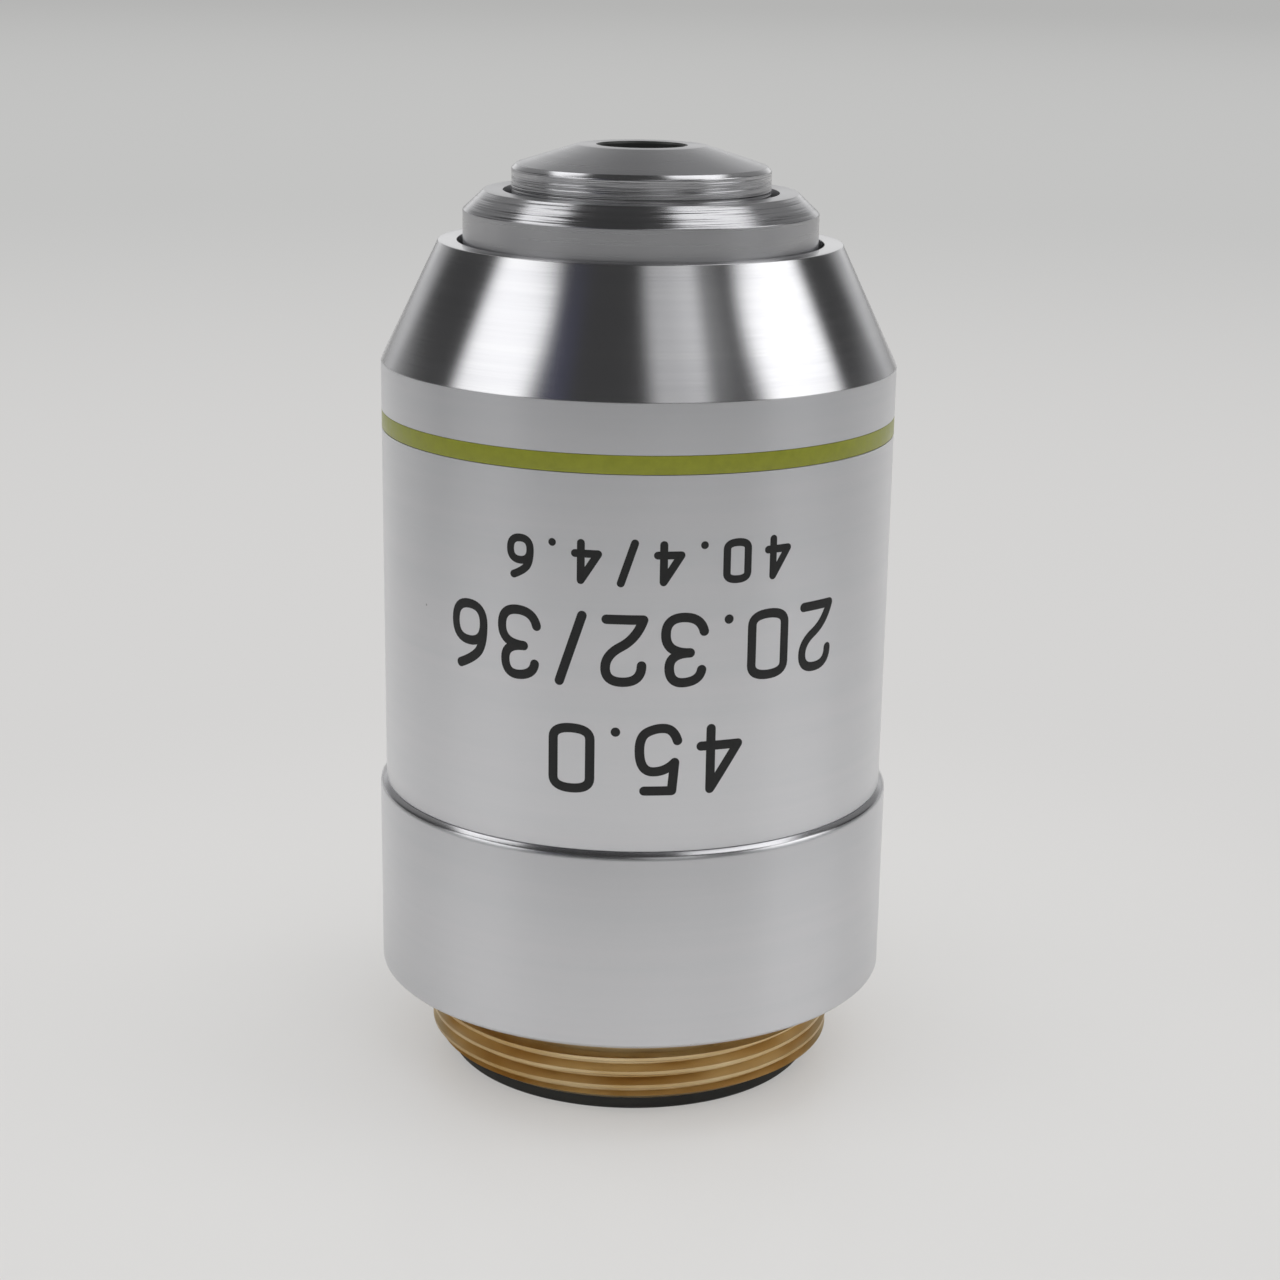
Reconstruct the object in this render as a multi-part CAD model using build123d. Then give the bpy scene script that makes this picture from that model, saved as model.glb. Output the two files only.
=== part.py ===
from build123d import *
import os

# Microscope objective standing on its thread end, front lens up. Every piece is turned
# about the optical axis Z, and the foot plane is Z = 0. All sizes are in millimetres.

# Outside heights, from the foot up
foot_height = 0.70  # black rear ring that shows under the thread
thread_length = 2.45
relief_length = 1.55  # thread runout between thread and shoulder
collar_height = 9.70
sleeve_height = 20.67  # straight part of the sleeve
cone_height = 5.61
barrel_stand_out = 1.40  # straight part of the barrel above the cone's rim
bevel_height = 0.92
cap_stand_out = 1.00  # straight part of the front cap above the barrel's flat
cap_chamfer = 0.20
cap_cone_height = 0.90

# Radial chain of the nose and the sleeve, from the light path outwards
front_hole_dia = 4.10
front_hole_chamfer = 0.10
cap_flat_width = 1.00  # flat round the front hole
front_seat_width = 1.33  # shoulder that the front lens rests on
cap_wall = 2.70  # front lens pocket to the cap's outside
cap_gap = 0.40  # open gap between cap and barrel
flat_width = 0.90  # flat end of the barrel round the cap
lip_width = 0.60  # lip that holds the front cell in the barrel
barrel_wall = 1.29
nose_gap = 0.28  # open gap between barrel and sleeve
rim_width = 0.88  # flat end of the cone round the barrel
spring_room = 2.51  # barrel to the sleeve's cavity
sleeve_wall = 1.40
collar_step = 0.30  # collar stands proud of the sleeve
collar_top_chamfer_height = 0.20

# Thread end
thread_dia = 20.20  # crest of a 20.32 mm, 36 per inch objective thread
thread_lead_depth = 0.80
thread_lead_height = 0.50
shoulder_chamfer = 0.20
foot_step = 1.00  # rear ring is smaller than the thread
foot_chamfer = 0.12
relief_depth = 0.60
undercut_width = 0.30  # shoulder recess beyond the thread's crest
undercut_depth = 0.25

# Colour band let into the sleeve
band_below_cone = 2.29
band_height = 0.88
band_depth = 0.15

# Fits, radial
running_clearance = 0.04  # barrel in its guide tube
screwed_fit = 0.03  # pieces that screw or push together
lens_fit = 0.02  # lenses in their pockets, and the cement between two lenses

# Walls of the mount
skirt_wall = 0.70  # thin end of the sleeve that screws into the collar
nipple_wall = 1.90  # thread crest to bore
web_height = 2.30  # shoulder to the floor of the guide bore
pocket_above_floor = 0.70  # pocket for the skirt, above the guide bore's floor
skirt_end_gap = 0.60
guide_stand_out = 3.60  # guide tube above the collar's top
stop_below_cone = 2.07  # face in the sleeve that the barrel's flange stops on

# Rear ring inside the thread
rear_ring_wall = 1.67
rear_spigot_length = 2.00
rear_flare = 0.60

# Sprung barrel
retract_travel = 2.00
retract_reserve = 0.50  # guide bore left under the barrel when it is pushed in
lip_height = 0.80
flange_height = 1.50
flange_gap = 0.60  # flange to the sleeve's cavity
washer_height = 0.40
washer_margin = 0.20
spring_wire = 0.80
spring_turns = 6

# Guide screw through the guide tube, on the side away from the front view
screw_dia = 1.60
screw_tip_dia = 1.20
screw_below_guide_top = 1.80
screw_tip_reach = 0.80  # tip into the barrel's slot
screw_recess = 0.10
screw_slot_width = 0.30
screw_slot_depth = 0.35
slot_end_play = 0.10
slot_side_play = 0.05
slot_floor_play = 0.12

# Lens stack in the barrel, from the front
front_wall = 0.80  # metal in front of the front lens
front_flange_height = 2.60
front_lens_edge = 1.60
front_lens_hollow_depth = 0.25
front_lens_bulge_height = 0.90
front_mouth_wall = 2.47
front_mouth_height = 1.60
seat_width = 0.45  # flat ground rim of each lens
seat_wall = 0.60  # shoulder that each lens rests on
cell_tail = 0.80  # cell beyond its retaining ring
ring_height = 0.80
ring_slot_width = 0.70
ring_slot_depth = 0.35
middle_cell_wall = 2.40
middle_lens_edge = 1.20
middle_lens_hollow_depth = 0.15
middle_lens_bulge_height = 0.85
front_spacer_length = 3.20
spacer_wall = 0.80
doublet_cell_wall = 1.50
front_crown_bulge_height = 0.55
front_crown_edge = 1.00
front_cement_bulge_height = 1.10
front_flint_edge = 2.30
front_flint_hollow_depth = 0.30
stop_height = 0.50
stop_wall = 2.27
rear_spacer_length = 6.60
rear_crown_bulge_height = 0.45
rear_crown_edge = 0.90
rear_cement_bulge_height = 0.85
rear_flint_edge = 2.10
rear_flint_hollow_depth = 0.25
stack_ring_height = 1.80
stack_ring_wall = 1.40

# Heights along the axis
z_relief = foot_height + thread_length
z_shoulder = z_relief + relief_length
z_collar = z_shoulder + collar_height
z_cone = z_collar + sleeve_height
z_rim = z_cone + cone_height
z_bevel = z_rim + barrel_stand_out
z_flat = z_bevel + bevel_height
z_cap = z_flat + cap_stand_out
z_cap_cone = z_cap + cap_chamfer
z_top = z_cap_cone + cap_cone_height
z_band_top = z_cone - band_below_cone
z_band_low = z_band_top - band_height
z_guide_floor = z_shoulder + web_height
z_pocket_floor = z_guide_floor + pocket_above_floor
z_guide_top = z_collar + guide_stand_out
z_stop = z_cone - stop_below_cone
z_flange_low = z_stop - flange_height
z_washer_top = z_guide_top + washer_height
z_screw = z_guide_top - screw_below_guide_top
z_barrel_rear = z_guide_floor + retract_travel + retract_reserve
z_lip = z_flat - lip_height

# Radii from the light path outwards
front_hole_r = front_hole_dia / 2
front_lens_r = front_hole_r + front_seat_width
front_seat_r = front_lens_r + lens_fit
cap_flat_r = front_hole_r + cap_flat_width
cap_r = front_seat_r + cap_wall
lip_r = cap_r + cap_gap
flat_r = lip_r + flat_width
bore_r = lip_r + lip_width
cell_r = bore_r - screwed_fit
barrel_r = bore_r + barrel_wall
guide_bore_r = barrel_r + running_clearance
sleeve_bore_r = barrel_r + nose_gap
rim_r = sleeve_bore_r + rim_width
cavity_r = barrel_r + spring_room
flange_r = cavity_r - flange_gap
guide_r = cavity_r - screwed_fit
skirt_r = cavity_r + skirt_wall
pocket_r = skirt_r + screwed_fit
sleeve_r = cavity_r + sleeve_wall
collar_r = sleeve_r + collar_step
screw_tip_r = barrel_r - screw_tip_reach
slot_floor_r = screw_tip_r - slot_floor_play

# Radii of the thread end
thread_r = thread_dia / 2
nipple_bore_r = thread_r - nipple_wall
rear_spigot_r = nipple_bore_r - screwed_fit


def turned(*points):
    """Solid of a closed (radius, height) outline turned about Z."""
    outline = Polyline(*points, close=True)
    return revolve(Plane.XZ * make_face(outline), Axis.Z)


def ring(inner_r, outer_r, z_low, z_high):
    """Plain ring with a square section."""
    return turned((inner_r, z_low), (outer_r, z_low), (outer_r, z_high), (inner_r, z_high))


def spanner_slots(outer_r, z_low):
    """Bar that cuts two spanner slots across the lower face of a ring."""
    bar = Box(2 * outer_r, ring_slot_width, 2 * ring_slot_depth)
    return Pos(0, 0, z_low) * bar


def lens(radius, z_high, bulge_high, z_low, bulge_low):
    """Lens with spherical faces inside flat ground rims; a negative bulge is hollow."""
    clear_r = radius - seat_width
    high = TangentArc((0, z_high + bulge_high), (clear_r, z_high), tangent=(1, 0))
    low = TangentArc((0, z_low - bulge_low), (clear_r, z_low), tangent=(1, 0))
    rim = Polyline((clear_r, z_high), (radius, z_high), (radius, z_low), (clear_r, z_low))
    middle = Line((0, z_low - bulge_low), (0, z_high + bulge_high))
    return revolve(Plane.XZ * make_face([high, rim, low, middle]), Axis.Z)


def lens_cell(z_high, z_low, seat_r):
    """Cell open at the rear, with the shoulder for its lens at the front."""
    z_seat = z_high - seat_wall
    return turned(
        (seat_r - seat_width, z_high),
        (cell_r, z_high),
        (cell_r, z_low),
        (seat_r, z_low),
        (seat_r, z_seat),
        (seat_r - seat_width, z_seat),
    )


def retaining_ring(seat_r, z_high):
    """Slotted ring that holds a lens against its shoulder from the rear."""
    z_low = z_high - ring_height
    outer_r = seat_r - screwed_fit
    plain = ring(seat_r - seat_width, outer_r, z_low, z_high)
    return plain - spanner_slots(outer_r, z_low)


def base_collar():
    """Grip collar, threaded nipple and guide tube, turned from one bar."""
    relief_r = thread_r - relief_depth
    undercut_r = thread_r + undercut_width
    body = turned(
        (nipple_bore_r, foot_height),
        (thread_r - thread_lead_depth, foot_height),
        (thread_r, foot_height + thread_lead_height),
        (thread_r, z_relief),
        (relief_r, z_relief),
        (relief_r, z_shoulder + undercut_depth),
        (undercut_r, z_shoulder + undercut_depth),
        (undercut_r, z_shoulder),
        (collar_r - shoulder_chamfer, z_shoulder),
        (collar_r, z_shoulder + shoulder_chamfer),
        (collar_r, z_collar - collar_top_chamfer_height),
        (sleeve_r, z_collar),
        (pocket_r, z_collar),
        (pocket_r, z_pocket_floor),
        (guide_r, z_pocket_floor),
        (guide_r, z_guide_top),
        (guide_bore_r, z_guide_top),
        (guide_bore_r, z_guide_floor),
        (nipple_bore_r, z_guide_floor),
    )
    return body - radial_rod(screw_dia / 2 + screwed_fit, screw_tip_r, collar_r, z_screw)


def radial_rod(radius, inner_r, outer_r, z):
    """Rod along +Y between two radii at one height."""
    rod = Cylinder(radius, outer_r - inner_r, align=(Align.CENTER, Align.CENTER, Align.MIN))
    return Plane(origin=(0, inner_r, z), x_dir=(1, 0, 0), z_dir=(0, 1, 0)) * rod


def guide_screw():
    """Slotted screw in the guide tube; its tip runs in the barrel's slot."""
    outer_r = guide_r - screw_recess
    neck_r = guide_bore_r + screw_recess
    tip = radial_rod(screw_tip_dia / 2, screw_tip_r, neck_r, z_screw)
    body = radial_rod(screw_dia / 2, neck_r, outer_r, z_screw)
    driver_slot = Box(screw_slot_width, 2 * screw_slot_depth, 2 * screw_dia)
    return tip + body - Pos(0, outer_r, z_screw) * driver_slot


def rear_ring():
    """Black ring screwed into the nipple, flared inside against stray light."""
    aperture_r = rear_spigot_r - rear_ring_wall
    foot_r = thread_r - foot_step
    z_spigot = foot_height + rear_spigot_length
    return turned(
        (aperture_r, 0),
        (foot_r - foot_chamfer, 0),
        (foot_r, foot_chamfer),
        (foot_r, foot_height),
        (rear_spigot_r, foot_height),
        (rear_spigot_r, z_spigot),
        (aperture_r + rear_flare, z_spigot),
    )


def outer_sleeve():
    """Straight sleeve with the cone, the groove for the band and the screwed skirt."""
    groove_r = sleeve_r - band_depth
    z_skirt = z_pocket_floor + skirt_end_gap
    return turned(
        (sleeve_bore_r, z_rim),
        (rim_r, z_rim),
        (sleeve_r, z_cone),
        (sleeve_r, z_band_top),
        (groove_r, z_band_top),
        (groove_r, z_band_low),
        (sleeve_r, z_band_low),
        (sleeve_r, z_collar),
        (skirt_r, z_collar),
        (skirt_r, z_skirt),
        (cavity_r, z_skirt),
        (cavity_r, z_stop),
        (sleeve_bore_r, z_stop),
    )


def colour_band():
    """Enamel band that fills the groove in the sleeve."""
    return ring(sleeve_r - band_depth + lens_fit, sleeve_r, z_band_low + lens_fit, z_band_top - lens_fit)


def spring_washer():
    """Flat washer between the guide tube's end and the spring."""
    return ring(guide_bore_r + washer_margin, guide_r - washer_margin, z_guide_top, z_washer_top)


def retract_spring():
    """Compression spring with ground ends, between the washer and the barrel's flange."""
    height = z_flange_low - z_washer_top
    mean_r = (barrel_r + cavity_r) / 2
    path = Helix(pitch=height / spring_turns, height=height, radius=mean_r)
    section = Plane(origin=path @ 0, z_dir=path % 0) * Circle(spring_wire / 2)
    coil = Pos(0, 0, z_washer_top) * sweep(section, path, is_frenet=True)
    between_seats = Pos(0, 0, z_washer_top + height / 2) * Box(4 * mean_r, 4 * mean_r, height)
    return coil & between_seats


def lens_barrel():
    """Sliding barrel with its stop flange, front lip and guide slot."""
    body = turned(
        (bore_r, z_barrel_rear),
        (barrel_r, z_barrel_rear),
        (barrel_r, z_flange_low),
        (flange_r, z_flange_low),
        (flange_r, z_stop),
        (barrel_r, z_stop),
        (barrel_r, z_bevel),
        (flat_r, z_flat),
        (lip_r, z_flat),
        (lip_r, z_lip),
        (bore_r, z_lip),
    )
    half_width = screw_tip_dia / 2 + slot_side_play
    z_slot_low = z_screw - slot_end_play
    z_slot_high = z_screw + retract_travel + slot_end_play
    z_slot = (z_slot_low + z_slot_high) / 2
    slot = SlotCenterToCenter(z_slot_high - z_slot_low, 2 * half_width, rotation=90)
    wall = Plane(origin=(0, slot_floor_r, z_slot), x_dir=(-1, 0, 0), z_dir=(0, 1, 0))
    return body - extrude(wall * slot, amount=barrel_r)


def front_cell():
    """Front cap with the cone round the front hole and the pocket for the front lens."""
    mouth_r = cell_r - front_mouth_wall
    z_rear = z_lip - front_flange_height
    return turned(
        (front_hole_r, z_top - front_wall),
        (front_hole_r, z_top - front_hole_chamfer),
        (front_hole_r + front_hole_chamfer, z_top),
        (cap_flat_r, z_top),
        (cap_r - cap_chamfer, z_cap_cone),
        (cap_r, z_cap),
        (cap_r, z_lip),
        (cell_r, z_lip),
        (cell_r, z_rear),
        (mouth_r, z_rear),
        (front_seat_r, z_rear + front_mouth_height),
        (front_seat_r, z_top - front_wall),
    )


def front_lens_group():
    """Thick front lens, hollow towards the specimen, and its retaining ring."""
    z_high = z_top - front_wall
    z_low = z_high - front_lens_edge
    glass = lens(front_lens_r, z_high, -front_lens_hollow_depth, z_low, front_lens_bulge_height)
    return {
        "front_lens": glass,
        "front_lens_ring": retaining_ring(front_seat_r, z_low),
    }


def middle_group(z_high):
    """Single lens in its cell; returns the pieces and the height of the cell's rear face."""
    seat_r = cell_r - middle_cell_wall
    z_seat = z_high - seat_wall
    z_edge = z_seat - middle_lens_edge
    z_low = z_edge - ring_height - cell_tail
    glass = lens(seat_r - lens_fit, z_seat, -middle_lens_hollow_depth, z_edge, middle_lens_bulge_height)
    pieces = {
        "middle_cell": lens_cell(z_high, z_low, seat_r),
        "middle_lens": glass,
        "middle_lens_ring": retaining_ring(seat_r, z_edge),
    }
    return pieces, z_low


def doublet_group(name, z_high, crown_bulge, crown_edge, cement_bulge, flint_edge, flint_hollow):
    """Cemented crown and flint in a cell; returns the pieces and the cell's rear face."""
    seat_r = cell_r - doublet_cell_wall
    z_seat = z_high - seat_wall
    z_crown = z_seat - crown_edge
    z_flint = z_crown - lens_fit
    z_edge = z_flint - flint_edge
    z_low = z_edge - ring_height - cell_tail
    lens_r = seat_r - lens_fit
    pieces = {
        name + "_cell": lens_cell(z_high, z_low, seat_r),
        name + "_crown": lens(lens_r, z_seat, crown_bulge, z_crown, cement_bulge),
        name + "_flint": lens(lens_r, z_flint, -cement_bulge, z_edge, -flint_hollow),
        name + "_ring": retaining_ring(seat_r, z_edge),
    }
    return pieces, z_low


def aperture_stop(z_high):
    """Thin stop with a knife edge turned to the rear."""
    z_low = z_high - stop_height
    hole_r = cell_r - stop_wall
    return turned((hole_r + stop_height, z_high), (cell_r, z_high), (cell_r, z_low), (hole_r, z_low))


def stack_ring(z_high):
    """Slotted ring that clamps the whole stack against the barrel's lip."""
    z_low = z_high - stack_ring_height
    return ring(cell_r - stack_ring_wall, cell_r, z_low, z_high) - spanner_slots(cell_r, z_low)


def lens_stack():
    """All pieces that are loaded into the barrel from the rear, front first."""
    pieces = {"front_cell": front_cell()}
    pieces.update(front_lens_group())
    group, z = middle_group(z_lip - front_flange_height)
    pieces.update(group)
    pieces["front_spacer"] = ring(cell_r - spacer_wall, cell_r, z - front_spacer_length, z)
    group, z = doublet_group(
        "front_doublet",
        z - front_spacer_length,
        front_crown_bulge_height,
        front_crown_edge,
        front_cement_bulge_height,
        front_flint_edge,
        front_flint_hollow_depth,
    )
    pieces.update(group)
    pieces["aperture_stop"] = aperture_stop(z)
    z_spacer = z - stop_height
    z = z_spacer - rear_spacer_length
    pieces["rear_spacer"] = ring(cell_r - spacer_wall, cell_r, z, z_spacer)
    group, z = doublet_group(
        "rear_doublet",
        z,
        rear_crown_bulge_height,
        rear_crown_edge,
        rear_cement_bulge_height,
        rear_flint_edge,
        rear_flint_hollow_depth,
    )
    pieces.update(group)
    pieces["stack_ring"] = stack_ring(z)
    return pieces


nodes = {
    "base_collar": base_collar(),
    "rear_ring": rear_ring(),
    "outer_sleeve": outer_sleeve(),
    "colour_band": colour_band(),
    "spring_washer": spring_washer(),
    "retract_spring": retract_spring(),
    "guide_screw": guide_screw(),
    "lens_barrel": lens_barrel(),
}
nodes.update(lens_stack())

os.makedirs("parts", exist_ok=True)
for node, solid in nodes.items():
    export_step(solid, f"parts/{node}.step")
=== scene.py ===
import logging
import math
from dataclasses import dataclass, field
from enum import Enum
from functools import cache

import bpy
import numpy as np
from mathutils import Matrix, Vector


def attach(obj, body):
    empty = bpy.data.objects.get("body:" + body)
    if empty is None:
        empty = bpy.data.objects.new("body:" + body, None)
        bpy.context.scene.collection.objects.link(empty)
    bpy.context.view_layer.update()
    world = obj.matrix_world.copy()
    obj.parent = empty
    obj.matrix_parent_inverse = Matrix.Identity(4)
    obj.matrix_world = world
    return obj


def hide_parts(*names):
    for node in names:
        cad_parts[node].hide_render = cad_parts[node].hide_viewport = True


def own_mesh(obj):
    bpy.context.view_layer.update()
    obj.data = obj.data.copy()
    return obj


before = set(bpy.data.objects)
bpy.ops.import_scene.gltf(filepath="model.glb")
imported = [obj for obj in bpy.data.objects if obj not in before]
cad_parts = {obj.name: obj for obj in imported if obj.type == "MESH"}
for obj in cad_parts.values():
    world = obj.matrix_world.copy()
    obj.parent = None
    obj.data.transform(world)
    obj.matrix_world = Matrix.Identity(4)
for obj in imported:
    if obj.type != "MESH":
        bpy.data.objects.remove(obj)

# Microscope objective, front lens up. Meshes are shaped in millimetres and taken to metres
# at the end, so every size below is in millimetres unless it says otherwise.

log = logging.getLogger("objective")

MM = 0.001
STEPS = 192  # steps in a full turn of a turned piece
DRILL_STEPS = 32  # steps in a full turn of a drill
ARC = (0.0, 0.33, 0.67, 1.0)  # places along a broken edge
SHARP = math.radians(28)  # edges sharper than this stay sharp
WELD = 1e-4  # vertices closer than this are one
SKIN = 0.01  # margin that takes in, or leaves out, the faces at a limit

MIDDLE = {"From Min": 0.3, "From Max": 0.7}  # most of a noise lies between these
OCTAVE = 0.6  # share that each finer octave of a noise keeps
COLOURS = {"data_type": "RGBA"}
COLOUR_A, COLOUR_B, MIXED = 6, 7, 2  # sockets of a node that mixes colours
SMOOTH = {"interpolation_type": "SMOOTHSTEP"}
TIMES = {"operation": "MULTIPLY"}
WHITE = "#FFFFFF"
FAR_TONE = "#B5B5B4"  # pale tone of the background

Point = tuple[float, float]
Line = tuple[Point, ...]
Piece = bpy.types.Object
Socket = bpy.types.NodeSocket
Tree = bpy.types.NodeTree


class Body(Enum):
    """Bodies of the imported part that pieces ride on."""

    MOUNT = "mount"
    NOSE = "nose"


class Slot(Enum):
    """Material slots of the record."""

    PLATED = "plated_brass"
    BLACKENED = "blackened_brass"
    ENAMEL = "yellow_enamel"
    STEEL = "spring_steel"
    CROWN = "crown_glass"
    FLINT = "flint_glass"


def linear(colour: str) -> tuple[float, float, float, float]:
    """Turn an sRGB hex colour to linear light.

    Args:
        colour: Colour such as "#C8C8CA".

    Returns:
        Linear red, green, blue and an alpha of 1.
    """
    parts = [int(colour[i : i + 2], 16) / 255 for i in (1, 3, 5)]
    lin = [c / 12.92 if c <= 0.04045 else ((c + 0.055) / 1.055) ** 2.4 for c in parts]
    return lin[0], lin[1], lin[2], 1.0


def put(
    tree: Tree,
    kind: str,
    settings: dict[str, object] | None = None,
    inputs: dict[str | int, object] | None = None,
) -> bpy.types.Node:
    """Add a node with its settings and links.

    Args:
        tree: Node tree that gets the node.
        kind: Type name of the node.
        settings: Attributes of the node.
        inputs: Values or output sockets by input name or number.

    Returns:
        The new node.
    """
    node = tree.nodes.new(kind)
    for key, value in (settings or {}).items():
        setattr(node, key, value)
    for key, value in (inputs or {}).items():
        if isinstance(value, Socket):
            tree.links.new(value, node.inputs[key])
        else:
            node.inputs[key].default_value = value
    return node


def grain(tree: Tree, spacing: float, length: float, detail: float) -> Socket:
    """Noise that runs round the axis as tool marks do.

    Args:
        tree: Node tree that gets the nodes.
        spacing: Distance between two marks along the axis, in mm.
        length: Length of a mark round the axis, in mm.
        detail: Octaves of finer marks.

    Returns:
        Value between 0 and 1.
    """
    place = put(tree, "ShaderNodeTexCoord").outputs["Object"]
    scale = (1 / (length * MM), 1 / (length * MM), 1 / (spacing * MM))
    stretched = put(tree, "ShaderNodeMapping", None, {"Vector": place, "Scale": scale})
    inputs = {"Vector": stretched.outputs["Vector"], "Scale": 1.0}
    inputs |= {"Detail": detail, "Roughness": OCTAVE}
    return put(tree, "ShaderNodeTexNoise", {"noise_dimensions": "3D"}, inputs).outputs["Fac"]


@dataclass(frozen=True)
class Finish:
    """What a surface is made of.

    Attributes:
        name: Name of its material.
    """

    name: str

    def surface(self, tree: Tree) -> Socket:
        """Add the nodes of the finish.

        Args:
            tree: Node tree that gets the nodes.

        Returns:
            The shader.
        """
        raise NotImplementedError

    @cache
    def material(self) -> bpy.types.Material:
        """Build the material, once.

        Returns:
            The material of the finish.
        """
        material = bpy.data.materials.new(self.name)
        material.use_nodes = True
        tree = material.node_tree
        tree.nodes.clear()
        put(tree, "ShaderNodeOutputMaterial", None, {"Surface": self.surface(tree)})
        return material


@dataclass(frozen=True)
class TurnedMetal(Finish):
    """Metal with tool marks round the axis.

    Attributes:
        colour: Colour of the bare metal.
        tint: Colour in the marks.
        rough: Lowest and highest roughness.
        stretch: How far reflections are drawn out along the axis.
        spacing: Distance between tool marks.
        length: Length of a tool mark.
        depth: Height of the marks in the bump.
        metallic: 1 for bare metal, less for an oxide skin.
        pits: Distance between small dark pits, 0 for none.
        pit_colour: Colour in a pit.
        pit_share: How far a pit takes that colour.
        pit_edge: Where a pit starts to fade and ends, in shares of their distance.
        broad: How many times as far apart and as long the marks in the colour are.
        turn: Turn of the drawn out reflections, in full turns.
    """

    colour: str
    tint: str
    rough: tuple[float, float]
    stretch: float
    spacing: float
    length: float
    depth: float
    metallic: float = 1.0
    pits: float = 0.0
    pit_colour: str = "#55504A"
    pit_share: float = 0.5
    pit_edge: tuple[float, float] = (0.012, 0.024)
    broad: tuple[float, float] = (12.0, 2.0)
    turn: float = 0.25

    def surface(self, tree: Tree) -> Socket:
        """Add the metal's nodes.

        Args:
            tree: Node tree that gets the nodes.

        Returns:
            The shader.
        """
        marks = grain(tree, self.spacing, self.length, 3.0)
        broad = grain(tree, self.broad[0] * self.spacing, self.broad[1] * self.length, 2.0)
        share = put(tree, "ShaderNodeMapRange", None, MIDDLE | {"Value": broad}).outputs["Result"]
        inputs = {"Factor": share, COLOUR_A: linear(self.colour), COLOUR_B: linear(self.tint)}
        colour = put(tree, "ShaderNodeMix", COLOURS, inputs).outputs[MIXED]
        if self.pits:
            inputs = {COLOUR_A: colour, COLOUR_B: linear(self.pit_colour)}
            inputs["Factor"] = self.pitting(tree)
            colour = put(tree, "ShaderNodeMix", COLOURS, inputs).outputs[MIXED]
        inputs = {"Height": marks, "Distance": self.depth * MM, "Strength": 1.0}
        bump = put(tree, "ShaderNodeBump", None, inputs)
        around = put(tree, "ShaderNodeTangent", {"direction_type": "RADIAL", "axis": "Z"})
        inputs = MIDDLE | {"Value": marks, "To Min": self.rough[0], "To Max": self.rough[1]}
        rough = put(tree, "ShaderNodeMapRange", None, inputs)
        inputs = {
            "Base Color": colour,
            "Metallic": self.metallic,
            "Roughness": rough.outputs["Result"],
            "Anisotropic": self.stretch,
            "Anisotropic Rotation": self.turn,
            "Tangent": around.outputs["Tangent"],
            "Normal": bump.outputs["Normal"],
        }
        return put(tree, "ShaderNodeBsdfPrincipled", None, inputs).outputs["BSDF"]

    def pitting(self, tree: Tree) -> Socket:
        """Scatter small pits as in worn plate.

        Args:
            tree: Node tree that gets the nodes.

        Returns:
            How far each place takes the colour of a pit.
        """
        place = put(tree, "ShaderNodeTexCoord").outputs["Object"]
        inputs = {"Vector": place, "Scale": 1 / (self.pits * MM)}
        cells = put(tree, "ShaderNodeTexVoronoi", {"voronoi_dimensions": "3D"}, inputs)
        low, high = self.pit_edge
        inputs = {"Value": cells.outputs["Distance"], "From Min": low, "From Max": high}
        inputs |= {"To Min": self.pit_share, "To Max": 0.0}
        return put(tree, "ShaderNodeMapRange", None, inputs).outputs["Result"]


@dataclass(frozen=True)
class Paint(Finish):
    """Paint or enamel with a slight unevenness.

    Attributes:
        colour: Main colour.
        shade: Colour of the thinner places.
        patch: Width of an uneven place.
        rough: Lowest and highest roughness.
        coat: Weight of the clear gloss on top.
        depth: Height of the unevenness in the bump.
        coat_rough: Roughness of the clear gloss.
    """

    colour: str
    shade: str
    patch: float
    rough: tuple[float, float]
    coat: float
    depth: float
    coat_rough: float = 0.15

    def surface(self, tree: Tree) -> Socket:
        """Add the paint's nodes.

        Args:
            tree: Node tree that gets the nodes.

        Returns:
            The shader.
        """
        patches = grain(tree, self.patch, self.patch, 3.0)
        share = put(tree, "ShaderNodeMapRange", None, MIDDLE | {"Value": patches})
        inputs = {COLOUR_A: linear(self.shade), COLOUR_B: linear(self.colour)}
        inputs["Factor"] = share.outputs["Result"]
        colour = put(tree, "ShaderNodeMix", COLOURS, inputs)
        inputs = {"Height": patches, "Distance": self.depth * MM, "Strength": 1.0}
        bump = put(tree, "ShaderNodeBump", None, inputs)
        inputs = MIDDLE | {"Value": patches, "To Min": self.rough[0], "To Max": self.rough[1]}
        rough = put(tree, "ShaderNodeMapRange", None, inputs)
        inputs = {
            "Base Color": colour.outputs[MIXED],
            "Roughness": rough.outputs["Result"],
            "Coat Weight": self.coat,
            "Coat Roughness": self.coat_rough,
            "Normal": bump.outputs["Normal"],
        }
        return put(tree, "ShaderNodeBsdfPrincipled", None, inputs).outputs["BSDF"]


@dataclass(frozen=True)
class Glass(Finish):
    """Polished lens glass with an anti-reflection coat.

    Attributes:
        colour: Colour that the glass lets through.
        ior: Refractive index.
        coat_tint: Colour of the coat's reflection.
        patch: Width of a less polished place.
        rough: Highest roughness.
    """

    colour: str
    ior: float
    coat_tint: str
    patch: float = 0.4
    rough: float = 0.015

    def surface(self, tree: Tree) -> Socket:
        """Add the glass's nodes.

        Args:
            tree: Node tree that gets the nodes.

        Returns:
            The shader.
        """
        polish = grain(tree, self.patch, self.patch, 2.0)
        inputs = MIDDLE | {"Value": polish, "To Min": 0.0, "To Max": self.rough}
        rough = put(tree, "ShaderNodeMapRange", None, inputs)
        inputs = {
            "Base Color": linear(self.colour),
            "Roughness": rough.outputs["Result"],
            "IOR": self.ior,
            "Transmission Weight": 1.0,
            "Specular Tint": linear(self.coat_tint),
        }
        return put(tree, "ShaderNodeBsdfPrincipled", None, inputs).outputs["BSDF"]


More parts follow.
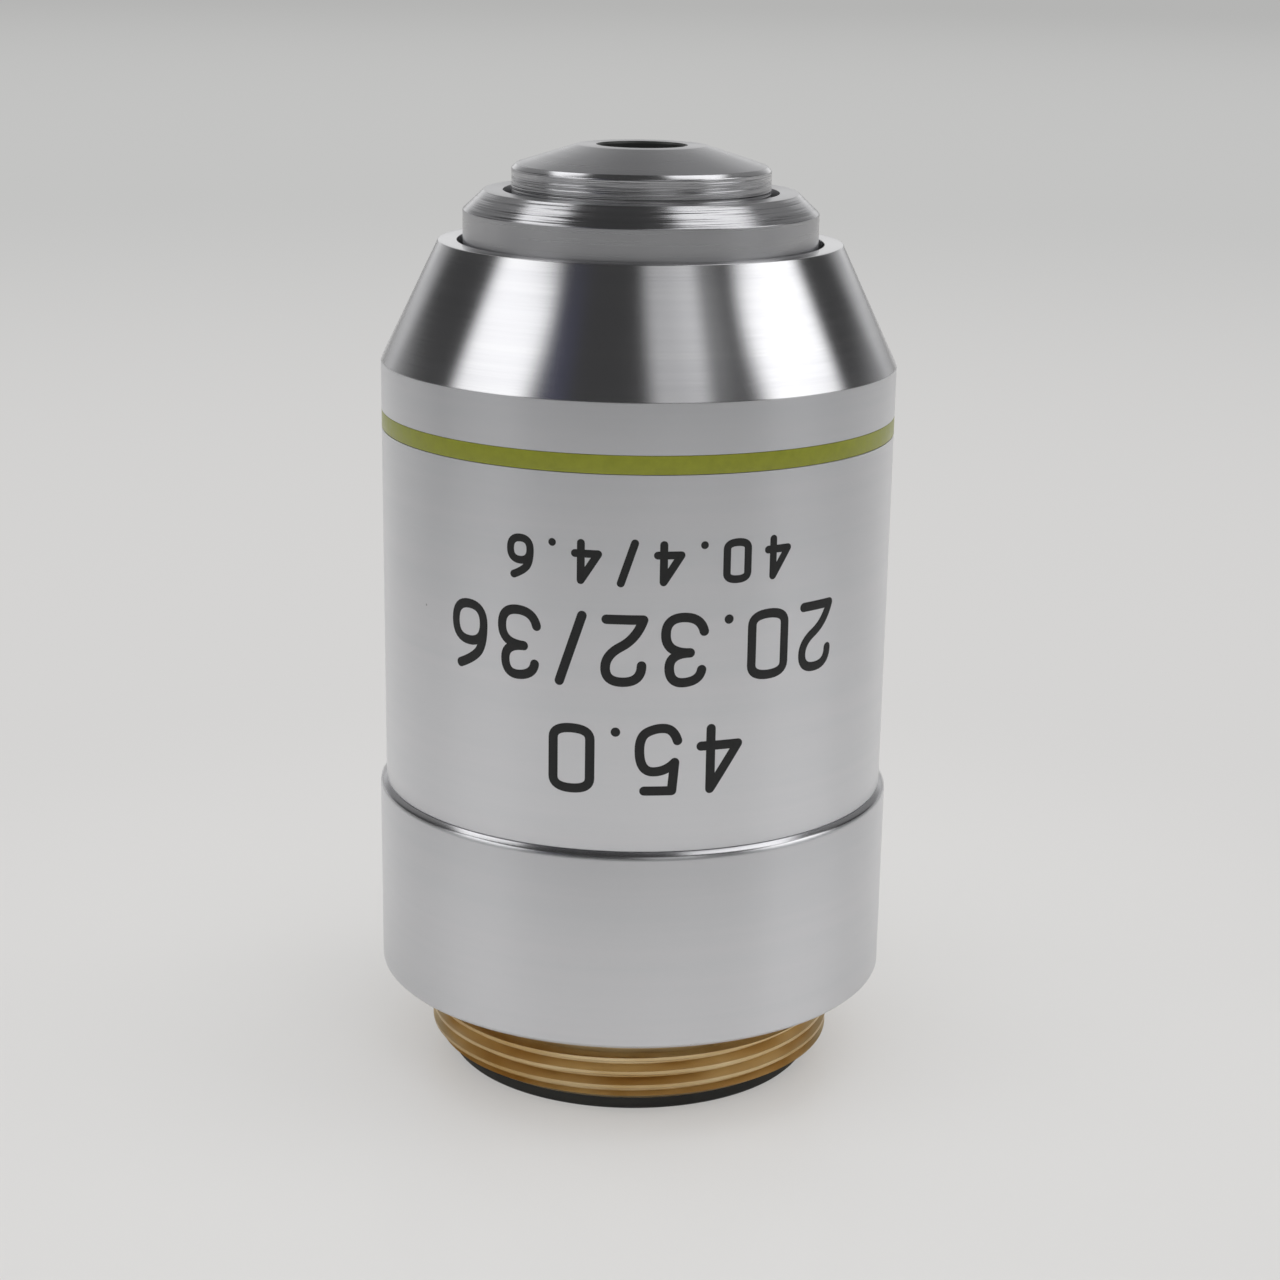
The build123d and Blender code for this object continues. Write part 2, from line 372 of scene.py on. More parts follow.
# The finest turning marks are about 0.02 mm apart. They are drawn at 0.05 mm or more, because
# finer ones don't show.

# Satin chrome plate over turned brass: soft reflections drawn out along the axis.
SATIN_CHROME = TurnedMetal(
    "satin_chrome_plate", "#DADADD", "#D7D8DB", (0.31, 0.34), 0.80, 0.06, 12.0, 0.0001, 1.0, 3.0
)
# Chrome plate over a finely turned cone: mirror stripes with fine rings in them.
BRIGHT_CHROME = TurnedMetal(
    "bright_chrome_plate", "#D8D8DA", "#D3D3D6", (0.17, 0.21), 0.65, 0.05, 22.0, 0.0007, 1.0, 2.2
)
# Chrome plate over faced and finely turned ends, on the nose: an even grey shine.
FACED_CHROME = TurnedMetal(
    "faced_chrome_plate", "#C6C6C8", "#C0C0C3", (0.27, 0.30), 0.60, 0.07, 18.0, 0.0004
)
# Chrome plate over coarser turning, on the bevel: the marks break the light into streaks.
TURNED_CHROME = TurnedMetal(
    "turned_chrome_plate", "#CFCFD1", "#BDBDC0", (0.14, 0.24), 0.40, 0.26, 30.0, 0.0600
)
# Chrome plate over deep turning marks, on the cap's side: thin streaks between dark lines.
GROOVED_CHROME = TurnedMetal(
    "grooved_chrome_plate", "#CFCFD1", "#BDBDC0", (0.14, 0.22), 0.40, 0.20, 30.0, 0.1000
)
# Bare machined brass: warm, with tarnish in soft patches.
BARE_BRASS = TurnedMetal(
    "bare_turned_brass", "#E2CCA2", "#C3A26C", (0.29, 0.34), 0.40, 0.10, 2.5, 0.0004
)
# Black oxide on turned brass: dull, with a weak sheen on the tool marks.
BLACK_OXIDE = TurnedMetal(
    "black_oxide_brass", "#464745", "#363736", (0.38, 0.55), 0.30, 0.12, 6.0, 0.0020, 0.55
)
# Drawn spring steel: grey, with a soft shine along the wire.
SPRING_STEEL = TurnedMetal(
    "drawn_spring_steel", "#B8B9BA", "#9A9B9D", (0.22, 0.38), 0.30, 0.15, 4.0, 0.0020
)
# Baked enamel in the groove, ground flush: an almost even colour with a weak gloss.
YELLOW_ENAMEL = Paint("baked_yellow_enamel", "#8C9021", "#81851D", 0.5, (0.30, 0.42), 0.2, 0.004)
# Filler paint in the engraving: matt black.
ENGRAVING_BLACK = Paint("black_engraving_paint", "#1B1B1C", "#111112", 0.12, (0.5, 0.7), 0.0, 0.006)
# Crown glass with a blue-violet coat: clear, with a cool glint.
CROWN_GLASS = Glass("coated_crown_glass", "#F2FAFA", 1.52, "#C8BEF2")
# Flint glass with a faint amber coat: clear, with a warm glint.
FLINT_GLASS = Glass("coated_flint_glass", "#FAF8EC", 1.65, "#E8CFB4")


def deselect() -> None:
    """Leave nothing selected, in object mode."""
    if bpy.context.object and bpy.context.object.mode != "OBJECT":
        bpy.ops.object.mode_set(mode="OBJECT")
    bpy.ops.object.select_all(action="DESELECT")


def activate(piece: Piece) -> None:
    """Select one object alone and make it active."""
    deselect()
    piece.select_set(True)
    bpy.context.view_layer.objects.active = piece


def weld() -> None:
    """Select all of the mesh in edit mode and merge its doubles."""
    bpy.ops.mesh.select_all(action="SELECT")
    bpy.ops.mesh.remove_doubles(threshold=WELD)


def close_mesh() -> None:
    """Merge doubles, turn the faces outwards and leave edit mode."""
    weld()
    bpy.ops.mesh.normals_make_consistent(inside=False)
    bpy.ops.object.mode_set(mode="OBJECT")


def break_edges(outline: list[Point], breaks: dict[Point, float]) -> list[Point]:
    """Round some corners of an outline.

    Args:
        outline: Corners as (radius, height).
        breaks: How far each rounded corner is cut back.

    Returns:
        The outline with small arcs in place of those corners.
    """
    rounded: list[Point] = []
    count = len(outline)
    for i, corner in enumerate(outline):
        if corner not in breaks:
            rounded.append(corner)
            continue
        here = Vector(corner)
        back = (Vector(outline[i - 1]) - here).normalized() * breaks[corner]
        ahead = (Vector(outline[(i + 1) % count]) - here).normalized() * breaks[corner]
        for t in ARC:
            spot = here + back * (1 - t) ** 2 + ahead * t**2
            rounded.append((spot.x, spot.y))
    return rounded


def trace(name: str, outline: list[Point], closed: bool = True) -> Piece:
    """Draw an outline, from a small plane drawn together to its first corner.

    Args:
        name: Name of the new piece.
        outline: Corners as (radius, height).
        closed: Whether the last corner runs back to the first.

    Returns:
        The new object, in edit mode.
    """
    deselect()
    bpy.ops.mesh.primitive_plane_add(size=1.0, location=(0, 0, 0))
    piece = bpy.context.object
    piece.name = piece.data.name = name
    bpy.ops.object.mode_set(mode="EDIT")
    bpy.ops.mesh.select_all(action="SELECT")
    bpy.ops.mesh.merge(type="CENTER")
    bpy.ops.transform.translate(value=(outline[0][0], 0, outline[0][1]))
    path = outline + outline[:1] if closed else outline
    for (r0, z0), (r1, z1) in zip(path, path[1:]):
        bpy.ops.mesh.extrude_vertices_move(TRANSFORM_OT_translate={"value": (r1 - r0, 0, z1 - z0)})
    weld()
    return piece


def lathe(name: str, outline: list[Point], closed: bool = True) -> Piece:
    """Turn an outline about Z.

    Args:
        name: Name of the new piece.
        outline: Corners of the half section as (radius, height).
        closed: Whether the last corner runs back to the first.

    Returns:
        The new object, with its place in its mesh.
    """
    piece = trace(name, outline, closed)
    bpy.ops.mesh.select_all(action="SELECT")
    bpy.ops.mesh.spin(steps=STEPS, angle=math.tau, center=(0, 0, 0), axis=(0, 0, 1))
    close_mesh()
    return piece


def wind(piece: Piece, pitch: float, turns: int, steps: int) -> None:
    """Sweep a section along a helix about Z.

    Args:
        piece: The section.
        pitch: Rise of a turn.
        turns: Number of turns.
        steps: Steps in a turn.
    """
    activate(piece)
    helix = piece.modifiers.new("helix", "SCREW")
    helix.axis = "Z"
    helix.angle = math.tau
    helix.screw_offset = pitch
    helix.iterations = turns
    helix.steps = helix.render_steps = steps
    bpy.ops.object.modifier_apply(modifier=helix.name)


def drill(radius: float, length: float, y: float, z: float) -> Piece:
    """Make a round cutter along Y.

    Args:
        radius: Radius of the cutter.
        length: Length of the cutter.
        y: Distance of its middle from the axis.
        z: Height of its middle.

    Returns:
        A closed mesh, with its place in its mesh.
    """
    deselect()
    turn = (math.pi / 2, 0, 0)
    bpy.ops.mesh.primitive_cylinder_add(
        vertices=DRILL_STEPS, radius=radius, depth=length, location=(0, y, z), rotation=turn
    )
    bpy.ops.object.transform_apply(location=True, rotation=True, scale=True)
    return bpy.context.object


def cut(piece: Piece, cutter: Piece) -> None:
    """Cut one mesh out of another and remove the cutter.

    Args:
        piece: What is cut.
        cutter: What cuts it.
    """
    activate(piece)
    boolean = piece.modifiers.new("cut", "BOOLEAN")
    boolean.operation = "DIFFERENCE"
    boolean.solver = "EXACT"
    boolean.object = cutter
    bpy.ops.object.modifier_apply(modifier=boolean.name)
    bpy.data.objects.remove(cutter)


def corners(piece: Piece) -> np.ndarray:
    """Give the vertices of a mesh as rows of x, y and z."""
    spots = np.zeros(len(piece.data.vertices) * 3)
    piece.data.vertices.foreach_get("co", spots)
    return spots.reshape(-1, 3)


def move_corners(piece: Piece, spots: np.ndarray) -> None:
    """Set the vertices of a mesh from rows of x, y and z."""
    piece.data.vertices.foreach_set("co", spots.ravel())
    piece.data.update()


def hand_over(
    piece: Piece,
    body: Body,
    finishes: list[Finish],
    stands_for: str | None = None,
) -> None:
    """Finish a piece: metres, materials, the body it rides on and the node it stands for.

    Args:
        piece: The finished mesh, in millimetres.
        body: Body of the part that carries it.
        finishes: Finishes in the order of its material slots.
        stands_for: CAD node that it replaces.
    """
    activate(piece)
    bpy.ops.transform.resize(value=(MM, MM, MM), center_override=(0, 0, 0))
    bpy.ops.object.transform_apply(location=True, rotation=True, scale=True)
    bpy.ops.object.shade_smooth_by_angle(angle=SHARP)
    for finish in finishes:
        piece.data.materials.append(finish.material())
    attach(piece, body.value)
    if stands_for:
        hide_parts(stands_for)
    log.info("%s on %s, %d faces", piece.name, body.value, len(piece.data.polygons))


def paint_faces(piece: Piece, index: int, low: Point, high: Point) -> None:
    """Give a material slot to the faces whose centre lies in a band of radius and height.

    Args:
        piece: The mesh, in metres.
        index: Number of the material slot.
        low: Least radius and height.
        high: Greatest radius and height.
    """
    for face in piece.data.polygons:
        x, y, z = face.center / MM
        if low[0] <= math.hypot(x, y) <= high[0] and low[1] <= z <= high[1]:
            face.material_index = index


def dress_nodes(nodes: tuple[str, ...], finish: Finish) -> None:
    """Give CAD nodes that stay a better material.

    Args:
        nodes: Names of the nodes.
        finish: Finish that they get.
    """
    for name in nodes:
        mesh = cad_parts[name].data
        mesh.materials.clear()
        mesh.materials.append(finish.material())
        log.info("%s keeps its solid, %s", name, finish.name)


@dataclass
class BaseCollar:
    """Grip collar, threaded nipple and guide tube, with the black ring inside the thread."""

    bore_r: float = 8.20
    foot_z: float = 0.70
    lead_r: float = 9.30
    lead_z: float = 1.20
    thread_r: float = 10.10
    pitch: float = 0.7056
    groove_depth: float = 0.45
    groove_floor: float = 0.08
    groove_clear: float = 0.10
    flank_angle: float = 27.5
    thread_end_z: float = 3.15
    thread_start_z: float = 0.055
    relief_r: float = 9.50
    undercut_r: float = 10.40
    undercut_z: float = 4.95
    shoulder_z: float = 4.70
    collar_r: float = 12.60
    chamfer: float = 0.20
    sleeve_r: float = 12.30
    top_z: float = 14.40
    pocket_r: float = 11.63
    pocket_z: float = 7.70
    guide_r: float = 10.87
    guide_bore_r: float = 8.43
    guide_floor_z: float = 7.00
    guide_top_z: float = 18.00
    screw_hole_r: float = 0.83
    screw_z: float = 16.20
    edge_break: float = 0.05
    top_break: float = 0.16
    ring_bore_r: float = 6.50
    ring_flare: float = 0.60
    ring_r: float = 9.10
    ring_break: float = 0.12
    spigot_r: float = 8.17
    spigot_z: float = 2.70

    def build(self) -> None:
        """Build the collar and the rear ring."""
        self.build_collar()
        self.build_rear_ring()

    def build_collar(self) -> None:
        """Turn the collar, cut its thread and the screw hole, and dress it."""
        low_edge = (self.collar_r - self.chamfer, self.shoulder_z)
        low_rim = (self.collar_r, self.shoulder_z + self.chamfer)
        top_rim = (self.collar_r, self.top_z - self.chamfer)
        outline = [
            (self.bore_r, self.foot_z),
            (self.lead_r, self.foot_z),
            (self.thread_r, self.lead_z),
            (self.thread_r, self.thread_end_z),
            (self.relief_r, self.thread_end_z),
            (self.relief_r, self.undercut_z),
            (self.undercut_r, self.undercut_z),
            (self.undercut_r, self.shoulder_z),
            low_edge,
            low_rim,
            top_rim,
            (self.sleeve_r, self.top_z),
            (self.pocket_r, self.top_z),
            (self.pocket_r, self.pocket_z),
            (self.guide_r, self.pocket_z),
            (self.guide_r, self.guide_top_z),
            (self.guide_bore_r, self.guide_top_z),
            (self.guide_bore_r, self.guide_floor_z),
            (self.bore_r, self.guide_floor_z),
        ]
        breaks = {low_edge: self.edge_break, low_rim: self.edge_break, top_rim: self.top_break}
        piece = lathe("plated_collar", break_edges(outline, breaks))
        cut(piece, self.thread_groove())
        middle, wall = (self.guide_bore_r + self.guide_r) / 2, self.guide_r - self.guide_bore_r
        cut(piece, drill(self.screw_hole_r, 2 * wall, middle, self.screw_z))
        finishes = [SATIN_CHROME, BARE_BRASS, BRIGHT_CHROME]
        hand_over(piece, Body.MOUNT, finishes, "base_collar")
        paint_faces(piece, 1, (0, 0), (self.undercut_r + SKIN, self.undercut_z + SKIN))
        paint_faces(piece, 1, (0, self.undercut_z), (self.pocket_r + SKIN, self.guide_top_z + SKIN))
        paint_faces(piece, 2, (self.sleeve_r, top_rim[1]), (self.collar_r, self.top_z - SKIN))

    def thread_groove(self) -> Piece:
        """Sweep the groove between two thread turns along its helix.

        Returns:
            A closed mesh that cuts the thread.
        """
        slope = math.tan(math.radians(self.flank_angle))
        inner = self.thread_r - self.groove_depth
        outer = self.thread_r + self.groove_clear
        low = self.groove_floor / 2
        high = low + (self.groove_depth + self.groove_clear) * slope
        z = self.thread_start_z
        section = [(inner, z - low), (outer, z - high), (outer, z + high), (inner, z + low)]
        piece = trace("thread_groove", section)
        wind(piece, self.pitch, math.ceil((self.thread_end_z - z) / self.pitch), STEPS)
        bpy.ops.object.mode_set(mode="EDIT")
        weld()
        bpy.ops.mesh.fill_holes(sides=0)
        close_mesh()
        return piece

    def build_rear_ring(self) -> None:
        """Turn the black ring that the objective stands on."""
        rim = (self.ring_r, self.foot_z)
        outline = [
            (self.ring_bore_r, 0.0),
            (self.ring_r - self.ring_break, 0.0),
            (self.ring_r, self.ring_break),
            rim,
            (self.spigot_r, self.foot_z),
            (self.spigot_r, self.spigot_z),
            (self.ring_bore_r + self.ring_flare, self.spigot_z),
        ]
        piece = lathe("black_rear_ring", break_edges(outline, {rim: self.edge_break}))
        hand_over(piece, Body.MOUNT, [BLACK_OXIDE], "rear_ring")


@dataclass
class Sleeve:
    """Straight sleeve with its cone, and the enamel band."""

    radius: float = 12.30
    bore_r: float = 8.67
    rim_r: float = 9.55
    rim_z: float = 40.68
    cone_z: float = 35.07
    band_top_z: float = 32.78
    band_low_z: float = 31.90
    band_depth: float = 0.15
    band_fit: float = 0.02
    band_break: float = 0.03
    low_z: float = 14.40
    skirt_r: float = 11.60
    skirt_z: float = 8.30
    cavity_r: float = 10.90
    stop_z: float = 33.00
    edge_break: float = 0.04
    joint_break: float = 0.10

    def build(self) -> None:
        """Build the sleeve and its band."""
        self.build_sleeve()
        self.build_band()

    def build_sleeve(self) -> None:
        """Turn the sleeve and dress its straight part and its cone."""
        groove_r = self.radius - self.band_depth
        rim = (self.rim_r, self.rim_z)
        rim_in = (self.bore_r, self.rim_z)
        cone = (self.radius, self.cone_z)
        joint = (self.radius, self.low_z)
        outline = [
            rim_in,
            rim,
            cone,
            (self.radius, self.band_top_z),
            (groove_r, self.band_top_z),
            (groove_r, self.band_low_z),
            (self.radius, self.band_low_z),
            joint,
            (self.skirt_r, self.low_z),
            (self.skirt_r, self.skirt_z),
            (self.cavity_r, self.skirt_z),
            (self.cavity_r, self.stop_z),
            (self.bore_r, self.stop_z),
        ]
        breaks = dict.fromkeys((rim, rim_in, cone), self.edge_break) | {joint: self.joint_break}
        piece = lathe("plated_sleeve", break_edges(outline, breaks))
        finishes = [SATIN_CHROME, BRIGHT_CHROME, BARE_BRASS]
        hand_over(piece, Body.MOUNT, finishes, "outer_sleeve")
        paint_faces(piece, 1, (0, self.cone_z), (self.radius, self.rim_z + SKIN))
        paint_faces(piece, 2, (0, 0), (self.skirt_r + SKIN, self.stop_z + SKIN))

    def build_band(self) -> None:
        """Fill the groove with enamel."""
        inner = self.radius - self.band_depth + self.band_fit
        low = (self.radius, self.band_low_z + self.band_fit)
        high = (self.radius, self.band_top_z - self.band_fit)
        outline = [(inner, low[1]), low, high, (inner, high[1])]
        breaks = dict.fromkeys((low, high), self.band_break)
        piece = lathe("enamel_band", break_edges(outline, breaks))
        hand_over(piece, Body.MOUNT, [YELLOW_ENAMEL], "colour_band")


@dataclass(frozen=True)
class Figure:
    """A figure as the engraver's needle draws it, in shares of its height.

    Attributes:
        width: Width of the figure.
        rings: Strokes that run back to their start.
        strokes: Open strokes.
        dots: Places where the needle only dips in.
    """

    width: float
    rings: tuple[Line, ...] = ()
    strokes: tuple[Line, ...] = ()
    dots: Line = ()


FIGURES: dict[str, Figure] = {
    "0": Figure(
        0.60,
        (((0, 0), (0.6, 0), (0.6, 0.36), (0.6, 0.64), (0.6, 1), (0, 1), (0, 0.64), (0, 0.36)),),
    ),
    "2": Figure(
        0.58,
        (),
        (
            ((0.02, 0.74), (0.02, 1.0), (0.58, 1.02), (0.60, 0.58), (0.10, 0.30), (0, 0)),
            ((0, 0), (0.58, 0)),
        ),
    ),
    "3": Figure(
        0.58,
        (),
        (
            ((0.03, 0.82), (0.06, 1.0), (0.54, 1.04), (0.56, 0.54), (0.22, 0.54)),
            ((0.22, 0.54), (0.60, 0.54), (0.62, -0.03), (0.06, -0.04), (0, 0.20)),
        ),
    ),
    "4": Figure(
        0.62, (), (((0.46, 0), (0.46, 1)), ((0.46, 1), (0, 0.28)), ((0, 0.28), (0.62, 0.28)))
    ),
    "5": Figure(
        0.58,
        (),
        (
            ((0.52, 1), (0.08, 1)),
            ((0.08, 1), (0.04, 0.53)),
            ((0.04, 0.53), (0.18, 0.68), (0.58, 0.68), (0.62, 0.10))
            + ((0.34, -0.05), (0.06, -0.02), (0, 0.17)),
        ),
    ),
    "6": Figure(
        0.58,
        (((0, 0), (0.58, 0), (0.58, 0.60), (0, 0.60)),),
        (((0.0, 0.30), (0.0, 0.58), (0.16, 0.86), (0.48, 1.0)),),
    ),
    "/": Figure(0.36, (), (((0, -0.04), (0.36, 1.04)),)),
    ".": Figure(0.04, (), (), ((0.02, 0.03),)),
}


@dataclass(frozen=True)
class NumberRow:
    """One engraved row.

    Attributes:
        text: Plain figures.
        height: Height of the figures, outside to outside.
        z: Height of the row's middle on the sleeve.
        offset: Way round the sleeve from the front, to the right.
        needle: Width of the needle.
    """

    text: str
    height: float
    z: float
    offset: float
    needle: float


@dataclass
class EngravedNumbers:
    """Plain numbers, cut into the sleeve upside down and filled with black paint."""

    sleeve_r: float = 12.30
    gap: float = 0.66
    proud: float = 0.006
    sunk: float = 0.05
    steepness: float = 4.0
    tip_steps: int = 16
    curve_steps: int = 8
    rows: tuple[NumberRow, ...] = (
        NumberRow("40.4/4.6", 2.05, 27.95, 0.70, 0.36),
        NumberRow("20.32/36", 3.30, 23.95, 0.50, 0.44),
        NumberRow("45.0", 3.30, 18.80, 0.60, 0.44),
    )

    def build(self) -> None:
        """Draw the rows flat, wrap them round the sleeve and dress them."""
        deselect()
        bpy.ops.curve.primitive_nurbs_curve_add()
        piece = bpy.context.object
        piece.name = piece.data.name = "engraved_numbers"
        piece.data.splines.clear()
        piece.data.dimensions = "3D"
        piece.data.bevel_depth = 0.5  # times each point's radius, which is the needle's width
        piece.data.bevel_resolution = 3
        piece.data.use_fill_caps = True
        ends: list[tuple[Point, float]] = []
        for row in self.rows:
            ends += [(place, row.needle) for place in self.draw_row(piece.data, row)]
        bpy.ops.object.convert(target="MESH")
        bpy.ops.object.mode_set(mode="EDIT")
        rings = self.tip_steps // 2
        for (x, y), needle in ends:
            bpy.ops.mesh.primitive_uv_sphere_add(
                segments=self.tip_steps, ring_count=rings, radius=needle / 2, location=(x, y, 0)
            )
        close_mesh()
        self.wrap(piece)
        hand_over(piece, Body.MOUNT, [ENGRAVING_BLACK])

    def draw_row(self, curve: bpy.types.Curve, row: NumberRow) -> list[Point]:
        """Draw one row with the needle.

        Args:
            curve: Curve that gets the strokes.
            row: What is drawn.

        Returns:
            Places where the needle goes in or out.
        """
        tall = row.height - row.needle
        figures = [FIGURES[sign] for sign in row.text]
        widths = [figure.width * tall for figure in figures]
        total = sum(widths) + (self.gap + row.needle) * (len(widths) - 1)
        ends: list[Point] = []
        start = -total / 2
        for figure, width in zip(figures, widths):

            def turned(line: Line) -> list[Point]:
                """Place points of the figure, turned upside down."""
                return [(row.offset - start - x * tall, row.z - (y - 0.5) * tall) for x, y in line]

            for ring in figure.rings:
                self.draw_stroke(curve, turned(ring), True, row.needle)
            for stroke in figure.strokes:
                places = turned(stroke)
                self.draw_stroke(curve, places, False, row.needle)
                ends += [places[0], places[-1]]
            ends += turned(figure.dots)
            start += width + self.gap + row.needle
        return ends

    def draw_stroke(
        self, curve: bpy.types.Curve, places: list[Point], closed: bool, needle: float
    ) -> None:
        """Add one stroke to the curve.

        Args:
            curve: Curve that gets the stroke.
            places: Its points on the flat sheet.
            closed: Whether it runs back to its start.
            needle: Width of the needle.
        """
        spline = curve.splines.new("NURBS")
        spline.points.add(len(places) - 1)
        for point, (x, y) in zip(spline.points, places):
            point.co = (x, y, 0, 1)
            point.radius = needle
        spline.order_u = min(3, len(places))
        spline.use_cyclic_u = closed
        spline.use_endpoint_u = not closed
        spline.resolution_u = self.curve_steps

    def wrap(self, piece: Piece) -> None:
        """Flatten the strokes to a thin inlay and lay them on the sleeve.

        Args:
            piece: The strokes, drawn flat.
        """
        spots = corners(piece)
        depth = np.clip(self.steepness * spots[:, 2], -self.sunk, self.proud)
        angle = spots[:, 0] / self.sleeve_r
        radius = self.sleeve_r + depth
        wrapped = np.stack([radius * np.sin(angle), -radius * np.cos(angle), spots[:, 1]], axis=1)
        move_corners(piece, wrapped)


@dataclass
class Nose:
    """Sliding barrel and the front cap."""

    bore_r: float = 7.10
    barrel_r: float = 8.39
    rear_z: float = 9.50
    flange_r: float = 10.30
    flange_z: float = 31.50
    stop_z: float = 33.00
    bevel_z: float = 42.08
    flat_r: float = 7.40
    flat_z: float = 43.00
    lip_r: float = 6.50
    lip_z: float = 42.20
    slot_z: float = 16.10
    slot_length: float = 2.20
    slot_r: float = 0.65
    slot_floor_r: float = 7.47
    cell_r: float = 7.07
    cell_z: float = 39.60
    cap_r: float = 6.10
    cap_z: float = 44.00
    cap_break: float = 0.20
    cap_flat_r: float = 3.05
    top_z: float = 45.10
    hole_r: float = 2.05
    hole_break: float = 0.10
    front_wall: float = 0.80
    seat_r: float = 3.40
    mouth_r: float = 4.60
    mouth_z: float = 41.20
    edge_break: float = 0.04

    def build(self) -> None:
        """Build the barrel and the cap."""
        self.build_barrel()
        self.build_cap()

    def build_barrel(self) -> None:
        """Turn the barrel, mill its slot and dress it."""
        bevel = (self.barrel_r, self.bevel_z)
        flat = (self.flat_r, self.flat_z)
        lip = (self.lip_r, self.flat_z)
        outline = [
            (self.bore_r, self.rear_z),
            (self.barrel_r, self.rear_z),
            (self.barrel_r, self.flange_z),
            (self.flange_r, self.flange_z),
            (self.flange_r, self.stop_z),
            (self.barrel_r, self.stop_z),
            bevel,
            flat,
            lip,
            (self.lip_r, self.lip_z),
            (self.bore_r, self.lip_z),
        ]
        breaks = dict.fromkeys((bevel, flat, lip), self.edge_break)
        piece = lathe("plated_barrel", break_edges(outline, breaks))
        cut(piece, self.slot_cutter())
        finishes = [FACED_CHROME, BLACK_OXIDE, TURNED_CHROME]
        hand_over(piece, Body.NOSE, finishes, "lens_barrel")
        paint_faces(piece, 1, (0, 0), (self.bore_r + SKIN, self.lip_z + SKIN))
        paint_faces(piece, 2, (self.flat_r, self.bevel_z), (self.barrel_r, self.flat_z - SKIN))

    def slot_cutter(self) -> Piece:
        """Make the milling cutter's path: a drill drawn out along the axis.

        Returns:
            A closed mesh along +Y.
        """
        depth = self.barrel_r - self.slot_floor_r
        piece = drill(self.slot_r, 2 * depth, self.slot_floor_r + depth, self.slot_z)
        spots = corners(piece)
        spots[spots[:, 2] > self.slot_z + WELD, 2] += self.slot_length
        move_corners(piece, spots)
        return piece

    def build_cap(self) -> None:
        """Turn the front cap and dress it."""
        rim = (self.cap_flat_r, self.top_z)
        shoulder = (self.cap_r - self.cap_break, self.cap_z + self.cap_break)
        side = (self.cap_r, self.cap_z)
        outline = [
            (self.hole_r, self.top_z - self.front_wall),
            (self.hole_r, self.top_z - self.hole_break),
            (self.hole_r + self.hole_break, self.top_z),
            rim,
            shoulder,
            side,
            (self.cap_r, self.lip_z),
            (self.cell_r, self.lip_z),
            (self.cell_r, self.cell_z),
            (self.mouth_r, self.cell_z),
            (self.seat_r, self.mouth_z),
            (self.seat_r, self.top_z - self.front_wall),
        ]
        breaks = dict.fromkeys((rim, shoulder, side), self.edge_break)
        piece = lathe("front_cap", break_edges(outline, breaks))
        finishes = [FACED_CHROME, BLACK_OXIDE, GROOVED_CHROME, BRIGHT_CHROME]
        hand_over(piece, Body.NOSE, finishes, "front_cell")
        paint_faces(piece, 2, (self.cap_r - SKIN, self.lip_z), side)
        paint_faces(piece, 3, (shoulder[0], self.cap_z), (self.cap_r, shoulder[1]))
        paint_faces(piece, 1, (0, 0), (self.cell_r + SKIN, self.lip_z + SKIN))
        paint_faces(piece, 1, (0, 0), (self.hole_r + self.hole_break, self.top_z - SKIN))


@dataclass
class Lens:
    """One lens with spherical faces inside flat ground rims.

    Attributes:
        node: CAD node that it stands for.
        radius: Outer radius.
        high_z: Height of its upper rim.
        high_bulge: How far the upper face stands out; negative is hollow.
        low_z: Height of its lower rim.
        low_bulge: How far the lower face stands out.
        finish: Glass of the lens.
        slot: Slot of the record; not used.
        rim_width: Width of the flat rims.
        arc_steps: Steps from the axis to a rim.
    """

    node: str
    radius: float
    high_z: float
    high_bulge: float
    low_z: float
    low_bulge: float
    finish: Glass
    slot: Slot
    rim_width: float = 0.45
    arc_steps: int = 20

    def face(self, rim_z: float, bulge: float) -> list[Point]:
        """Sample a spherical face from the axis to its rim.

        Args:
            rim_z: Height of the rim.
            bulge: Height of the middle above the rim.

        Returns:
            Points as (radius, height).
        """
        clear_r = self.radius - self.rim_width
        sphere_r = (clear_r**2 + bulge**2) / (2 * bulge)
        widest = math.asin(clear_r / abs(sphere_r))
        points = []
        for i in range(self.arc_steps + 1):
            angle = widest * i / self.arc_steps
            drop = sphere_r * (1 - math.cos(angle))
            points.append((abs(sphere_r) * math.sin(angle), rim_z + bulge - drop))
        return points

    def build(self) -> None:
        """Grind the lens and dress it."""
        upper = self.face(self.high_z, self.high_bulge)
        lower = self.face(self.low_z, -self.low_bulge)
        outline = upper + [(self.radius, self.high_z), (self.radius, self.low_z)] + lower[::-1]
        piece = lathe(self.node + "_glass", outline, closed=False)
        hand_over(piece, Body.NOSE, [self.finish], self.node)


